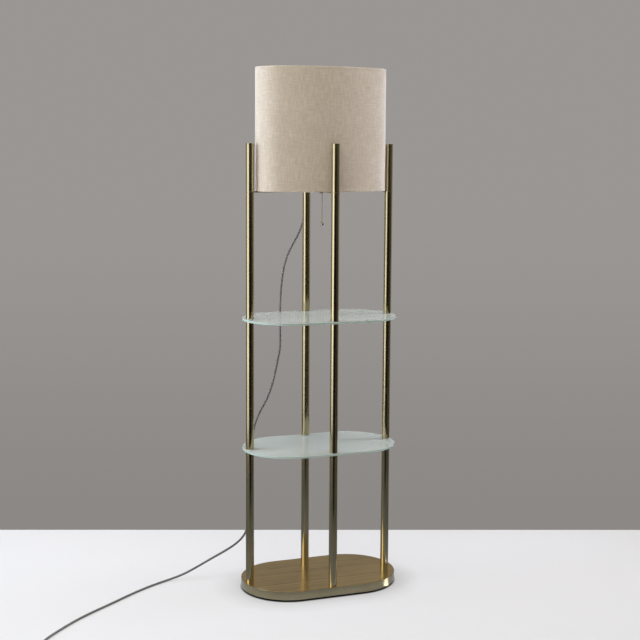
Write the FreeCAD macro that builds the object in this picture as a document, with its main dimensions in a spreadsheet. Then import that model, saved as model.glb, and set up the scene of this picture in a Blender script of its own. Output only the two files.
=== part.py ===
import FreeCAD, Part
import math
import os

import Sketcher
from FreeCAD import Placement, Rotation, Vector

# A floor lamp with two glass shelves: four round poles stand on an oval weighted base, hold
# the shelves between their screwed sections and carry a flat cross that bears the lampholder
# and an oval drum shade.  Millimetres, +Z up, +X along the base, the origin on the floor under
# the middle of the base.

SIZES = {
    # Base
    "base_length": 496,
    "base_width": 296,
    "base_height": 26,
    "base_wall": 2,
    "base_edge_radius": 1.2,
    "foot_height": 6,
    "foot_diameter": 30,
    "foot_inset": 30,
    "cover_thickness": 1.5,
    "weight_height": 8,
    "weight_clearance": 1,
    "boss_diameter": 20,
    "boss_inset": 26,
    "cover_screw_diameter": 4,
    "cover_screw_length": 9,
    "cover_screw_head": 8,
    "cover_screw_head_height": 2,
    # Poles
    "pole_diameter": 25.4,
    "pole_wall": 1.2,
    "pole_end_inset": 22,
    "pole_side_inset": 20,
    "lower_tube_length": 408,
    "middle_tube_length": 394,
    "upper_tube_length": 382,
    "top_tube_length": 142.2,
    "cap_height": 2,
    "cap_edge_radius": 0.6,
    "cap_spigot": 8,
    "insert_length": 14,
    "press_gap": 0.05,
    "stud_diameter": 8,
    "stud_grip": 12,
    "bolt_head_diameter": 16,
    "bolt_head_height": 5,
    # Shelves
    "shelf_end_setback": 4,
    "shelf_side_setback": 5,
    "glass_thickness": 6.4,
    "glass_hole": 11,
    "glass_edge_radius": 1.2,
    "washer_diameter": 24,
    "washer_thickness": 1,
    # Cross that carries the shade and the lampholder
    "frame_thickness": 3,
    "arm_width": 14,
    "hub_diameter": 32,
    "wire_slot_length": 16,
    "wire_slot_width": 7,
    "wire_slot_inset": 48,
    # Shade
    "shade_end_gap": 7.3,
    "shade_side_gap": 5.3,
    "shade_end_radius": 85,
    "shade_height": 370,
    "shade_seat_gap": 0.2,
    "fabric_thickness": 1.0,
    "liner_thickness": 0.6,
    "skin_gap": 0.05,
    "ring_wire": 3.4,
    "clip_width": 9,
    "clip_thickness": 1.2,
    "clip_foot": 8,
    "clip_screw_diameter": 2.4,
    # Lampholder
    "nipple_diameter": 10,
    "nipple_bore": 7,
    "nipple_end": 4.5,
    "nut_width": 15,
    "nut_height": 3.5,
    "riser_diameter": 14,
    "riser_height": 40,
    "holder_cap_height": 16,
    "holder_cap_wall": 0.8,
    "holder_lap": 5,
    "holder_shell_wall": 0.6,
    "holder_shell_rise": 10.2,
    "sleeve_wall": 0.8,
    "sleeve_setback": 1,
    "holder_body_wall": 2,
    "holder_floor": 14,
    "holder_body_length": 40,
    "screw_shell_wall": 0.5,
    "screw_shell_length": 24,
    "contact_diameter": 8,
    "contact_height": 1.2,
    "fit_gap": 0.2,
    "cut_past": 1,
    # Bulb
    "bulb_base_diameter": 26,
    "bulb_base_length": 26,
    "bulb_tip_height": 5.2,
    "bulb_diameter": 60,
    "bulb_glass_length": 83,
    "bulb_neck_diameter": 26,
    "bulb_neck_length": 6,
    "bulb_wall": 1,
    "bulb_gap": 0.4,
    "bulb_side_gap": 0.5,
    # Pull chain
    "chain_angle": 58,
    "chain_reach": 24,
    "guide_diameter": 6.4,
    "guide_bore": 4,
    "guide_drop": 12,
    "guide_bend": 4.4,
    "guide_flange": 9,
    "guide_channel": 9.6,
    "guide_height": 30,
    "stub_length": 14,
    "bead_diameter": 2.4,
    "bead_pitch": 3.2,
    "bead_link": 1,
    "coupling_diameter": 3.6,
    "coupling_length": 9,
    "coupling_edge": 0.7,
    "hinge_gap": 0.4,
    "chain_length": 152,
    "ball_diameter": 12,
    # Inner wires and mains lead
    "wire_diameter": 2.2,
    "wire_bend": 3.5,
    "wire_port_height": 10.5,
    "wire_wall_gap": 0.8,
    "notch_width": 6,
    "notch_height": 4.5,
    "insert_groove_wall": 1.5,
    "bush_drop": 44.8,
    "bush_stub_diameter": 9.8,
    "bush_stub_inside": 2,
    "bush_boss_diameter": 13,
    "bush_boss_reach": 6,
    "bush_lean": 15,
    "boot_sunk": 1.5,
    "boot_length": 28,
    "boot_wide": 11.4,
    "boot_narrow": 8.6,
    "cord_diameter": 7,
    "floor_gap": 0.1,
    "coil_approach": 28,
    "coil_outer_radius": 43,
    "coil_pitch": 7.8,
    "coil_layer": 8.2,
    "plug_length": 30,
    "plug_width": 25,
    "plug_thickness": 16,
    "plug_corner": 4,
    "plug_clearance": 2,
    "blade_length": 16,
    "blade_width": 6.3,
    "blade_thickness": 1.5,
    "blade_spacing": 12.7,
}

FOOT_TURNS = (-70, 0, 70)
RUN_SHARE = 0.45

POLES = {"left": (-1, 0), "front": (0, -1), "right": (1, 0), "back": (0, 1)}

doc = FreeCAD.newDocument("shelf_floor_lamp")
sheet = doc.addObject("Spreadsheet::Sheet", "Sizes")
for row, (name, number) in enumerate(SIZES.items(), start=1):
    sheet.set(f"A{row}", name)
    sheet.set(f"B{row}", str(number))
    sheet.setAlias(f"B{row}", name)
doc.recompute()

subparts = []


class Size:
    """A length that knows its number and its formula in the sheet."""

    def __init__(self, number, formula):
        self.number = float(number)
        self.formula = formula

    def joined(self, sign, other, number):
        return Size(number, f"({self.formula} {sign} {as_size(other).formula})")

    def __add__(self, other):
        return self.joined("+", other, self.number + as_size(other).number)

    def __sub__(self, other):
        return self.joined("-", other, self.number - as_size(other).number)

    def __mul__(self, other):
        return self.joined("*", other, self.number * as_size(other).number)

    def __truediv__(self, other):
        return self.joined("/", other, self.number / as_size(other).number)

    def __neg__(self):
        return as_size(0) - self


def as_size(value):
    return value if isinstance(value, Size) else Size(value, repr(float(value)))


class Sheet:
    """Reads a size of the sheet by its name."""

    def __getattr__(self, name):
        return Size(getattr(sheet, name), f"Sizes.{name}")


s = Sheet()


def mm(name):
    """The plain number of a size, for shapes that are worked out here."""
    return getattr(s, name).number


# ---------------------------------------------------------------- plan of the lamp

pole_span_long = s.base_length - s.pole_end_inset * 2
pole_span_short = s.base_width - s.pole_side_inset * 2
shelf_length = s.base_length - s.shelf_end_setback * 2
shelf_width = s.base_width - s.shelf_side_setback * 2
shade_length = pole_span_long - s.pole_diameter - s.shade_end_gap * 2
shade_width = pole_span_short - s.pole_diameter - s.shade_side_gap * 2
wire_slot_centre = pole_span_short / 2 - s.wire_slot_inset

# ---------------------------------------------------------------- heights of the stack

base_top = s.foot_height + s.base_height
lower_glass = base_top + s.lower_tube_length + s.washer_thickness
middle_tube = lower_glass + s.glass_thickness + s.washer_thickness
upper_glass = middle_tube + s.middle_tube_length + s.washer_thickness
upper_tube = upper_glass + s.glass_thickness + s.washer_thickness
frame_bottom = upper_tube + s.upper_tube_length
frame_top = frame_bottom + s.frame_thickness
top_tube_end = frame_top + s.top_tube_length
shade_bottom = frame_top + s.shade_seat_gap
shade_top = shade_bottom + s.shade_height
bush_level = frame_bottom - s.bush_drop

SECTIONS = {
    "lower": (base_top, s.lower_tube_length),
    "middle": (middle_tube, s.middle_tube_length),
    "upper": (upper_tube, s.upper_tube_length),
    "top": (frame_top, s.top_tube_length),
}


def pole_place(side):
    along, across = POLES[side]
    return pole_span_long * (along / 2), pole_span_short * (across / 2)


def pole_points(height):
    """The middles of the four poles at one height, as plain vectors."""
    places = [pole_place(side) for side in POLES]
    return [Vector(x.number, y.number, height.number) for x, y in places]


# ---------------------------------------------------------------- tools for solids


def bind(thing, name, value):
    thing.setExpression(name, as_size(value).formula)


def keep(thing):
    """Lists a sub-part whose shape is written to its own file."""
    subparts.append(thing)
    return thing


def new_body(label, x=0, y=0, z=0):
    body = doc.addObject("PartDesign::Body", label)
    body.Label = label
    for axis, where in (("x", x), ("y", y), ("z", z)):
        bind(body, f"Placement.Base.{axis}", where)
    return keep(body)


def new_sketch(body, name, plane="XY_Plane", lift=0):
    sketch = body.newObject("Sketcher::SketchObject", f"{body.Label}_{name}")
    support = next(f for f in body.Origin.OriginFeatures if f.Role == plane)
    sketch.AttachmentSupport = [(support, "")]
    sketch.MapMode = "FlatFace"
    bind(sketch, "AttachmentOffset.Base.z", lift)
    return sketch


def dimension(sketch, size, kind, *places):
    """Adds one measured constraint, bound to the sheet."""
    index = sketch.addConstraint(Sketcher.Constraint(kind, *places, size.number))
    bind(sketch, f"Constraints[{index}]", size)


def place_point(sketch, shape, point, x, y):
    """Fixes one point of a sketch at x, y; zero means on that axis."""
    for size, kind, axis in ((as_size(x), "DistanceX", -2), (as_size(y), "DistanceY", -1)):
        if size.number:
            dimension(sketch, size, kind, -1, 1, shape, point)
        else:
            sketch.addConstraint(Sketcher.Constraint("PointOnObject", shape, point, axis))


def add_circle(sketch, diameter, x=0, y=0):
    diameter, x, y = as_size(diameter), as_size(x), as_size(y)
    middle = Vector(x.number, y.number, 0)
    index = sketch.addGeometry(Part.Circle(middle, Vector(0, 0, 1), diameter.number / 2), False)
    dimension(sketch, diameter, "Diameter", index)
    place_point(sketch, index, 3, x, y)


def add_polygon(sketch, corners):
    corners = [(as_size(x), as_size(y)) for x, y in corners]
    points = [Vector(x.number, y.number, 0) for x, y in corners]
    first = None
    for start, end in zip(points, points[1:] + points[:1]):
        index = sketch.addGeometry(Part.LineSegment(start, end), False)
        first = index if first is None else first
    count = len(points)
    for step, (x, y) in enumerate(corners):
        after = first + (step - 1) % count
        sketch.addConstraint(Sketcher.Constraint("Coincident", after, 2, first + step, 1))
        place_point(sketch, first + step, 1, x, y)


def add_box(sketch, wide, deep, x=0, y=0):
    """A rectangle around x, y."""
    x, y, wide, deep = as_size(x), as_size(y), as_size(wide), as_size(deep)
    left, right, low, high = x - wide / 2, x + wide / 2, y - deep / 2, y + deep / 2
    add_polygon(sketch, [(left, low), (right, low), (right, high), (left, high)])


def add_stadium(sketch, length, width):
    """A straight-sided oval with half-round ends."""
    side, reach = width.number / 2, (length.number - width.number) / 2
    right = sketch.addGeometry(
        Part.ArcOfCircle(
            Part.Circle(Vector(reach, 0, 0), Vector(0, 0, 1), side), -math.pi / 2, math.pi / 2
        ),
        False,
    )
    top = sketch.addGeometry(Part.LineSegment(Vector(reach, side, 0), Vector(-reach, side, 0)))
    left = sketch.addGeometry(
        Part.ArcOfCircle(
            Part.Circle(Vector(-reach, 0, 0), Vector(0, 0, 1), side), math.pi / 2, 1.5 * math.pi
        ),
        False,
    )
    low = sketch.addGeometry(Part.LineSegment(Vector(-reach, -side, 0), Vector(reach, -side, 0)))
    for one, other in ((right, top), (top, left), (left, low), (low, right)):
        sketch.addConstraint(Sketcher.Constraint("Tangent", one, 2, other, 1))
    sketch.addConstraint(Sketcher.Constraint("PointOnObject", right, 3, -1))
    sketch.addConstraint(Sketcher.Constraint("Symmetric", right, 3, left, 3, -1, 1))
    sketch.addConstraint(Sketcher.Constraint("Equal", right, left))
    dimension(sketch, width / 2, "Radius", right)
    dimension(sketch, (length - width) / 2, "DistanceX", -1, 1, right, 3)


def pad(body, sketch, length):
    step = body.newObject("PartDesign::Pad", f"{sketch.Name}_pad")
    step.Profile = sketch
    bind(step, "Length", length)
    body.Tip = step


def pocket(body, sketch, depth, upward=False):
    """Cuts from the sketch's plane down, or up."""
    step = body.newObject("PartDesign::Pocket", f"{sketch.Name}_cut")
    step.Profile = sketch
    step.Reversed = upward
    bind(step, "Length", depth)
    body.Tip = step


def round_edges(body, radius, wanted):
    """Rounds the edges of a body's last feature that a rule picks."""
    doc.recompute()
    last = body.Tip
    edges = enumerate(last.Shape.Edges, start=1)
    names = [f"Edge{number}" for number, edge in edges if wanted(edge)]
    step = body.newObject("PartDesign::Fillet", f"{body.Label}_edge")
    step.Base = (last, names)
    bind(step, "Radius", radius)
    body.Tip = step


def revolve(body, corners, name="profile"):
    """Turns a profile of radius and height around the body's own Z axis."""
    sketch = new_sketch(body, name, "XZ_Plane")
    add_polygon(sketch, corners)
    step = body.newObject("PartDesign::Revolution", f"{sketch.Name}_turn")
    step.Profile = sketch
    step.ReferenceAxis = (sketch, ["V_Axis"])
    step.Angle = 360
    body.Tip = step


def ring_corners(outer, bore, low, high):
    """The profile of a plain ring or tube."""
    outer, bore = as_size(outer) / 2, as_size(bore) / 2
    return [(bore, low), (outer, low), (outer, high), (bore, high)]


def add_part(label, shape):
    thing = doc.addObject("Part::Feature", label)
    thing.Label = label
    thing.Shape = shape
    return keep(thing)


def group(label, shape, places):
    """One node of equal pieces, a copy at each place."""
    copies = []
    for place in places:
        copy = shape.copy()
        copy.Placement = place.multiply(copy.Placement)
        copies.append(copy)
    return add_part(label, Part.makeCompound(copies))


def at(point, turn=None):
    return Placement(point, turn or Rotation())


def disc(diameter, height, bore=0.0):
    solid = Part.makeCylinder(diameter / 2, height)
    return solid.cut(Part.makeCylinder(bore / 2, height)) if bore else solid


def arc_middle(start, corner, end):
    """The middle of the arc that touches both runs at start and end."""
    chord = (start + end) * 0.5
    half = (corner - start).getAngle(end - corner) / 2
    return chord + (corner - chord) * (math.tan(half / 2) / math.tan(half))


def bent_path(points, radius=None):
    """Straight runs joined by arcs, of one radius or as large as the runs allow."""
    edges, radii = [], []
    here = points[0]
    for before, corner, after in zip(points, points[1:], points[2:]):
        come, go = corner - before, after - corner
        slope = math.tan(come.getAngle(go) / 2)
        cut = radius * slope if radius else RUN_SHARE * min(come.Length, go.Length)
        start = corner - come.normalize() * cut
        end = corner + go.normalize() * cut
        edges.append(Part.LineSegment(here, start).toShape())
        edges.append(Part.Arc(start, arc_middle(start, corner, end), end).toShape())
        radii.append(cut / slope)
        here = end
    edges.append(Part.LineSegment(here, points[-1]).toShape())
    return Part.Wire(edges), radii


def tube(path, diameter):
    first = path.OrderedEdges[0]
    heading = first.tangentAt(first.FirstParameter)
    start = path.OrderedVertexes[0].Point
    if (first.valueAt(first.FirstParameter) - start).Length > 0.001:
        heading = first.tangentAt(first.LastParameter) * -1
    profile = Part.Wire(Part.makeCircle(diameter / 2, start, heading))
    return path.makePipeShell([profile], True, False)


# ---------------------------------------------------------------- base


def boss_points():
    """Where the four bosses of the weight stand, as sizes."""
    long = (s.base_length - s.base_width) / 2
    deep = s.base_width / 2 - s.boss_inset - s.boss_diameter / 2
    return [(long * i, deep * j) for i in (-1, 1) for j in (-1, 1)]


def make_base():
    shell = new_body("base_shell", z=s.foot_height)
    outline = new_sketch(shell, "outline")
    add_stadium(outline, s.base_length, s.base_width)
    pad(shell, outline, s.base_height)
    hollow = new_sketch(shell, "hollow")
    add_stadium(hollow, s.base_length - s.base_wall * 2, s.base_width - s.base_wall * 2)
    pocket(shell, hollow, s.base_height - s.base_wall, upward=True)
    holes = new_sketch(shell, "holes", lift=s.base_height)
    for side in POLES:
        add_circle(holes, s.stud_diameter + s.fit_gap * 2, *pole_place(side))
    pocket(shell, holes, s.base_wall + s.cut_past)
    high, hole = mm("base_height"), (mm("stud_diameter") + mm("fit_gap") * 2) * math.pi
    round_edges(
        shell,
        s.base_edge_radius,
        lambda edge: edge.BoundBox.ZMin > high - 0.01 and edge.Length > hole + 1,
    )

    inset = (s.base_wall + s.weight_clearance) * 2
    weight_z = base_top - s.base_wall - s.weight_height
    weight = new_body("base_weight", z=weight_z)
    outline = new_sketch(weight, "outline")
    add_stadium(outline, s.base_length - inset, s.base_width - inset)
    pad(weight, outline, s.weight_height)
    boss_height = s.base_height - s.base_wall - s.weight_height - s.cover_thickness
    bosses = new_sketch(weight, "bosses", lift=-boss_height)
    for x, y in boss_points():
        add_circle(bosses, s.boss_diameter, x, y)
    pad(weight, bosses, boss_height)
    bolt_holes = new_sketch(weight, "bolt_holes", lift=s.weight_height)
    for side in POLES:
        add_circle(bolt_holes, s.stud_diameter + s.fit_gap * 2, *pole_place(side))
    pocket(weight, bolt_holes, s.weight_height)
    screw_holes = new_sketch(weight, "screw_holes", lift=-boss_height)
    for x, y in boss_points():
        add_circle(screw_holes, s.cover_screw_diameter + s.press_gap * 2, x, y)
    pocket(weight, screw_holes, s.cover_screw_length, upward=True)

    cover = new_body("base_cover", z=s.foot_height)
    outline = new_sketch(cover, "outline")
    gap = (s.base_wall + s.fit_gap) * 2
    add_stadium(outline, s.base_length - gap, s.base_width - gap)
    pad(cover, outline, s.cover_thickness)
    holes = new_sketch(cover, "holes")
    for x, y in boss_points():
        add_circle(holes, s.cover_screw_diameter + s.fit_gap * 2, x, y)
    pocket(cover, holes, s.cover_thickness, upward=True)

    screw = disc(mm("cover_screw_diameter"), mm("cover_screw_length"))
    head = disc(mm("cover_screw_head"), mm("cover_screw_head_height"))
    head.translate(Vector(0, 0, -mm("cover_screw_head_height")))
    places = [Vector(x.number, y.number, mm("foot_height")) for x, y in boss_points()]
    group("base_cover_screws", screw.fuse(head), [at(point) for point in places])

    foot = disc(mm("foot_diameter"), mm("foot_height"))
    straight = mm("base_length") / 2 - mm("base_width") / 2
    reach = mm("base_width") / 2 - mm("foot_inset")
    feet = [
        Vector(side * (straight + reach * math.cos(turn)), reach * math.sin(turn), 0)
        for side in (-1, 1)
        for turn in map(math.radians, FOOT_TURNS)
    ]
    group("base_feet", foot, [at(point) for point in feet])

    length = mm("weight_height") + mm("base_wall") + mm("stud_grip")
    bolt = disc(mm("stud_diameter"), length)
    head = disc(mm("bolt_head_diameter"), mm("bolt_head_height"))
    head.translate(Vector(0, 0, -mm("bolt_head_height")))
    group("base_bolts", bolt.fuse(head), [at(point) for point in pole_points(weight_z)])


# ---------------------------------------------------------------- poles and shelves


def make_poles():
    bore = s.pole_diameter - s.pole_wall * 2
    for side in POLES:
        x, y = pole_place(side)
        for level, (bottom, length) in SECTIONS.items():
            pole = new_body(f"pole_{side}_{level}", x, y, bottom)
            ring = new_sketch(pole, "ring")
            add_circle(ring, s.pole_diameter)
            add_circle(ring, bore)
            pad(pole, ring, length)
            if (side, level) == ("back", "upper"):
                cut_back_pole(pole)

    width = bore.number - mm("press_gap") * 2
    insert = disc(width, mm("insert_length"), mm("stud_diameter") + mm("press_gap") * 2)
    ends = []
    for level, (bottom, length) in SECTIONS.items():
        ends.append(bottom)
        if level != "top":
            ends.append(bottom + length - s.insert_length)
    inserts = []
    for height in ends:
        for point in pole_points(height):
            solid = insert.copy()
            solid.translate(point)
            inserts.append(solid.cut(wire_groove()) if solid.common(wire_groove()).Volume else solid)
    add_part("pole_inserts", Part.makeCompound(inserts))

    cap = disc(mm("pole_diameter"), mm("cap_height"))
    cap = cap.makeFillet(mm("cap_edge_radius"), [cap.Edges[0]])
    spigot = disc(width, mm("cap_spigot"))
    spigot.translate(Vector(0, 0, -mm("cap_spigot")))
    group("pole_caps", cap.fuse(spigot), [at(point) for point in pole_points(top_tube_end)])


def cut_back_pole(pole):
    """The notch that lets the wires in at the top, and the hole for the lead's bush."""
    notch = new_sketch(pole, "notch", lift=s.upper_tube_length)
    add_box(notch, s.notch_width, (s.pole_wall + s.cut_past) * 2, 0, -s.pole_diameter / 2)
    pocket(pole, notch, s.notch_height)
    hole = new_sketch(pole, "hole", "XZ_Plane")
    add_circle(hole, s.bush_stub_diameter + s.press_gap * 2, 0, bush_level - upper_tube)
    pocket(pole, hole, s.pole_diameter)


def wire_groove():
    """The way past the stud for the wires in the back pole."""
    wide = mm("notch_width")
    deep = mm("pole_diameter") / 2 - mm("stud_diameter") / 2 - mm("insert_groove_wall")
    box = Part.makeBox(wide, deep, mm("insert_length") + mm("cut_past") * 2)
    back = pole_place("back")[1].number
    start = frame_bottom.number - mm("insert_length") - mm("cut_past")
    box.translate(Vector(-wide / 2, back - mm("pole_diameter") / 2, start))
    return box


def make_shelf(label, height):
    shelf = new_body(label, z=height)
    outline = new_sketch(shelf, "outline")
    add_stadium(outline, shelf_length, shelf_width)
    pad(shelf, outline, s.glass_thickness)
    holes = new_sketch(shelf, "holes")
    for side in POLES:
        add_circle(holes, s.glass_hole, *pole_place(side))
    pocket(shelf, holes, s.glass_thickness, upward=True)
    hole = mm("glass_hole") * math.pi
    round_edges(
        shelf,
        s.glass_edge_radius,
        lambda edge: edge.BoundBox.ZLength < 0.01 and edge.Length > hole + 1,
    )


def make_shelves():
    glasses = {"lower_shelf": lower_glass, "upper_shelf": upper_glass}
    for label, height in glasses.items():
        make_shelf(label, height)

    stack = mm("glass_thickness") + mm("washer_thickness") * 2
    washer = disc(mm("washer_diameter"), mm("washer_thickness"), mm("glass_hole"))
    stud = disc(mm("stud_diameter"), stack + mm("stud_grip") * 2)
    washers, studs = [], []
    for height in glasses.values():
        under, over = height - s.washer_thickness, height + s.glass_thickness
        washers += [at(point) for level in (under, over) for point in pole_points(level)]
        studs += [at(point) for point in pole_points(under - s.stud_grip)]
    group("shelf_washers", washer, washers)
    group("shelf_studs", stud, studs)


# ---------------------------------------------------------------- cross and shade


def clip_screw_place(side):
    """Where the screw of a shade clip goes into its arm."""
    along, across = POLES[side]
    skins = s.fabric_thickness + s.liner_thickness + s.skin_gap * 2
    back = skins + s.ring_wire + s.fit_gap + s.clip_thickness + s.clip_foot / 2
    return (shade_length / 2 - back) * along, (shade_width / 2 - back) * across


def make_frame():
    frame = new_body("support_frame", z=frame_bottom)
    for name, wide, deep in (
        ("long_bar", pole_span_long, s.arm_width),
        ("short_bar", s.arm_width, pole_span_short),
    ):
        bar = new_sketch(frame, name)
        add_box(bar, wide, deep)
        pad(frame, bar, s.frame_thickness)
    hub = new_sketch(frame, "hub")
    add_circle(hub, s.hub_diameter)
    pad(frame, hub, s.frame_thickness)
    eyes = new_sketch(frame, "eyes")
    for side in POLES:
        add_circle(eyes, s.pole_diameter, *pole_place(side))
    pad(frame, eyes, s.frame_thickness)
    holes = new_sketch(frame, "holes")
    add_circle(holes, s.nipple_diameter + s.fit_gap * 2)
    for side in POLES:
        add_circle(holes, s.stud_diameter + s.fit_gap * 2, *pole_place(side))
    for side in POLES:
        add_circle(holes, s.clip_screw_diameter + s.press_gap * 2, *clip_screw_place(side))
    add_box(holes, s.wire_slot_width, s.wire_slot_length, 0, wire_slot_centre)
    pocket(frame, holes, s.frame_thickness, upward=True)

    stud = disc(mm("stud_diameter"), mm("frame_thickness") + mm("stud_grip") * 2)
    places = pole_points(frame_bottom - s.stud_grip)
    group("frame_studs", stud, [at(point) for point in places])


def oval_wire(inset, height):
    """The shade's outline, four arcs that touch, drawn in by an inset."""
    end, half = mm("shade_end_radius"), shade_width.number / 2
    reach = shade_length.number / 2 - end
    side = (reach**2 + half**2 - end**2) / (2 * (half - end))
    drop = side - half
    lean = math.atan2(drop, reach)
    arcs = [
        (Vector(reach, 0, height), end, -lean, lean),
        (Vector(0, -drop, height), side, lean, math.pi - lean),
        (Vector(-reach, 0, height), end, math.pi - lean, math.pi + lean),
        (Vector(0, drop, height), side, math.pi + lean, 2 * math.pi - lean),
    ]
    edges = []
    for middle, radius, start, stop in arcs:
        circle = Part.Circle(middle, Vector(0, 0, 1), radius - inset)
        edges.append(Part.ArcOfCircle(circle, start, stop).toShape())
    return Part.Wire(edges)


def shade_skin(label, inset, thickness):
    bottom = shade_bottom.number
    outer = Part.Face(oval_wire(inset, bottom))
    inner = Part.Face(oval_wire(inset + thickness, bottom))
    add_part(label, outer.cut(inner).extrude(Vector(0, 0, mm("shade_height"))))


def ring_inset():
    """How far inside the shade's outline the middle of its wire rings runs."""
    skins = mm("fabric_thickness") + mm("liner_thickness") + mm("skin_gap") * 2
    return skins + mm("ring_wire") / 2


def shade_ring(label, height):
    """A round wire bent to the oval, just inside the liner."""
    add_part(label, tube(oval_wire(ring_inset(), height.number), mm("ring_wire")))


def make_clips():
    """A bent strip over the bottom wire on each arm, and the screw that holds it."""
    thick, wide = mm("clip_thickness"), mm("clip_width")
    side = mm("ring_wire") / 2 + mm("fit_gap")
    under = mm("shade_seat_gap") + mm("ring_wire") + mm("fit_gap")
    heel = side + thick + mm("clip_foot")
    profile = [
        (-heel, 0),
        (-heel, thick),
        (-side - thick, thick),
        (-side - thick, under + thick),
        (0, under + thick),
        (0, under),
        (-side, under),
        (-side, 0),
        (-heel, 0),
    ]
    outline = Part.makePolygon([Vector(x, -wide / 2, z) for x, z in profile])
    middle = Vector(-heel + mm("clip_foot") / 2, 0, 0)
    shank = disc(mm("clip_screw_diameter"), thick + mm("frame_thickness"))
    shank.translate(middle - Vector(0, 0, mm("frame_thickness")))
    hole = disc(mm("clip_screw_diameter") + mm("press_gap") * 2, thick)
    hole.translate(middle)
    clip = Part.Face(outline).extrude(Vector(0, wide, 0)).cut(hole)
    head = disc(mm("clip_screw_diameter") * 2, thick)
    head.translate(middle + Vector(0, 0, thick))
    places = []
    for along, across in POLES.values():
        half = shade_length.number / 2 if along else shade_width.number / 2
        reach = half - ring_inset()
        point = Vector(along * reach, across * reach, frame_top.number)
        turn = Rotation(Vector(0, 0, 1), math.degrees(math.atan2(across, along)))
        places.append(at(point, turn))
    group("shade_clips", clip, places)
    group("shade_clip_screws", shank.fuse(head), places)


def make_shade():
    shade_skin("shade_fabric", 0, mm("fabric_thickness"))
    liner = mm("fabric_thickness") + mm("skin_gap")
    shade_skin("shade_liner", liner, mm("liner_thickness"))
    shade_ring("shade_bottom_ring", shade_bottom + s.ring_wire / 2)
    shade_ring("shade_top_ring", shade_top - s.ring_wire / 2)
    make_clips()


# ---------------------------------------------------------------- lampholder and bulb

cap_bottom = frame_top + s.riser_height
shell_bottom = cap_bottom + s.holder_cap_height - s.holder_lap
body_bottom = shell_bottom + s.fit_gap
seat = body_bottom + s.holder_floor
bulb_bottom = seat + s.contact_height + s.bulb_gap
glass_bottom = bulb_bottom + s.bulb_base_length
thread_diameter = s.bulb_base_diameter + (s.bulb_side_gap + s.screw_shell_wall) * 2
body_bore = thread_diameter + s.fit_gap * 2
body_diameter = body_bore + s.holder_body_wall * 2
sleeve_diameter = body_diameter + (s.sleeve_wall + s.fit_gap) * 2
shell_diameter = sleeve_diameter + (s.holder_shell_wall + s.fit_gap) * 2
shell_length = glass_bottom + s.holder_shell_rise - shell_bottom
guide_z = shell_bottom + s.guide_height
hinge_z = guide_z - s.guide_drop - s.stub_length


def chain_point(height):
    turn = math.radians(mm("chain_angle"))
    reach = mm("chain_reach")
    return Vector(reach * math.cos(turn), reach * math.sin(turn), height.number)


def make_nipple():
    bottom = frame_bottom - s.nipple_end
    top = cap_bottom + s.holder_cap_wall + s.nut_height + s.fit_gap
    nipple = new_body("nipple", z=bottom)
    revolve(nipple, ring_corners(s.nipple_diameter, s.nipple_bore, 0, top - bottom))
    riser = new_body("socket_riser", z=frame_top)
    bore = s.nipple_diameter + s.fit_gap * 2
    revolve(riser, ring_corners(s.riser_diameter, bore, 0, s.riser_height))
    wide, high = (s.wire_diameter + s.fit_gap) * 2, s.wire_port_height
    for pipe, start in ((nipple, bottom), (riser, frame_top)):
        port = new_sketch(pipe, "wire_port", "XZ_Plane")
        add_box(port, wide, high, 0, frame_top + high / 2 - start)
        pocket(pipe, port, s.riser_diameter)

    flats = mm("nut_width")
    corners = [Vector(flats / math.sqrt(3), 0, 0)]
    for _ in range(6):
        corners.append(Rotation(Vector(0, 0, 1), 60).multVec(corners[-1]))
    nut = Part.Face(Part.makePolygon(corners)).extrude(Vector(0, 0, mm("nut_height")))
    nut = nut.cut(disc(mm("nipple_diameter") + mm("press_gap") * 2, mm("nut_height")))
    heights = (frame_bottom - s.nut_height, cap_bottom + s.holder_cap_wall)
    group("nipple_nuts", nut, [at(Vector(0, 0, height.number)) for height in heights])


def make_holder():
    wall = s.holder_cap_wall
    inside = shell_diameter / 2 + s.fit_gap
    bore = s.nipple_diameter / 2 + s.fit_gap
    cap = new_body("socket_cap", z=cap_bottom)
    shoulder = s.holder_cap_height - s.holder_lap - wall * 2
    revolve(
        cap,
        [
            (bore, 0),
            (inside - shoulder / 2, 0),
            (inside + wall, shoulder),
            (inside + wall, s.holder_cap_height),
            (inside, s.holder_cap_height),
            (inside, shoulder + wall / 2),
            (inside - shoulder / 2 - wall / 2, wall),
            (bore, wall),
        ],
    )

    shell = new_body("socket_shell", z=shell_bottom)
    shell_bore = shell_diameter - s.holder_shell_wall * 2
    revolve(shell, ring_corners(shell_diameter, shell_bore, 0, shell_length))
    sleeve = new_body("socket_sleeve", z=shell_bottom)
    sleeve_bore = sleeve_diameter - s.sleeve_wall * 2
    sleeve_length = shell_length - s.sleeve_setback
    revolve(sleeve, ring_corners(sleeve_diameter, sleeve_bore, 0, sleeve_length))

    body = new_body("socket_body", z=body_bottom)
    across, within = body_diameter / 2, body_bore / 2
    revolve(
        body,
        [
            (0, 0),
            (across, 0),
            (across, s.holder_body_length),
            (within, s.holder_body_length),
            (within, s.holder_floor),
            (0, s.holder_floor),
        ],
    )
    screw_shell = new_body("screw_shell", z=seat)
    thread_bore = thread_diameter - s.screw_shell_wall * 2
    revolve(screw_shell, ring_corners(thread_diameter, thread_bore, 0, s.screw_shell_length))
    contact = new_body("centre_contact", z=seat)
    plate = new_sketch(contact, "plate")
    add_circle(plate, s.contact_diameter)
    pad(contact, plate, s.contact_height)


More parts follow.
